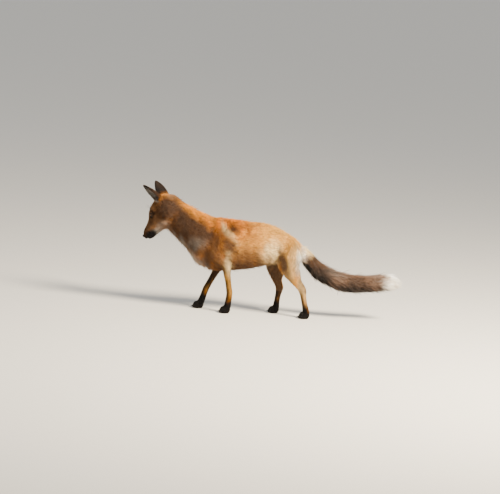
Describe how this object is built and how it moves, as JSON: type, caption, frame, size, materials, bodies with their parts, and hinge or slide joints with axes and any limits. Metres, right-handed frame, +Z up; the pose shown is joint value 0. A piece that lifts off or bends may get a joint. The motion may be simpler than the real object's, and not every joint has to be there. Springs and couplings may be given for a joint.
{
  "type": "red fox",
  "caption": "Life-size lean red fox standing with its head lowered and turned a little aside, ears up and its white-tipped tail held out low behind.",
  "frame": {"origin": "under the middle of the bounding box, on the floor", "axes": "+Z up, the fox faces -X and its left side is towards -Y"},
  "size_m": [0.9852, 0.1586, 0.4659],
  "materials": {
    "coat_orange": "dense fur, rich orange on the nape, redder on the face",
    "coat_flank": "dense fur, orange brown fading to buff on the flank",
    "coat_haunch": "soft fur, pale buff",
    "coat_brush": "long fur, dark grey brown",
    "coat_white": "soft white fur",
    "coat_black": "short black fur",
    "nose_skin": "moist pebbled black skin",
    "eye_wet": "wet amber eye with an upright pupil",
    "claw_horn": "dark horn"
  },
  "bodies": {
    "root": {"head": "coat_orange", "neck": "coat_orange", "trunk": "coat_flank", "leg_fore_left_upper": "coat_flank", "leg_fore_left_lower": "coat_flank", "leg_fore_left_paw": "coat_black", "leg_fore_right_upper": "coat_flank", "leg_fore_right_lower": "coat_flank", "leg_fore_right_paw": "coat_black", "leg_hind_left_upper": "coat_haunch", "leg_hind_left_lower": "coat_haunch", "leg_hind_left_paw": "coat_black", "leg_hind_right_upper": "coat_haunch", "leg_hind_right_lower": "coat_haunch", "leg_hind_right_paw": "coat_black", "claw_fore_left_1": "claw_horn", "claw_fore_left_2": "claw_horn", "claw_fore_left_3": "claw_horn", "claw_fore_left_4": "claw_horn", "claw_fore_right_1": "claw_horn", "claw_fore_right_2": "claw_horn", "claw_fore_right_3": "claw_horn", "claw_fore_right_4": "claw_horn", "claw_hind_left_1": "claw_horn", "claw_hind_left_2": "claw_horn", "claw_hind_left_3": "claw_horn", "claw_hind_left_4": "claw_horn", "claw_hind_right_1": "claw_horn", "claw_hind_right_2": "claw_horn", "claw_hind_right_3": "claw_horn", "claw_hind_right_4": "claw_horn", "tail_base": "coat_haunch", "tail_brush": "coat_brush", "tail_tip": "coat_white", "jaw": "coat_white", "ear_left": "coat_black", "eye_left": "eye_wet", "ear_right": "coat_black", "eye_right": "eye_wet", "nose": "nose_skin"}
  },
  "joints": []
}
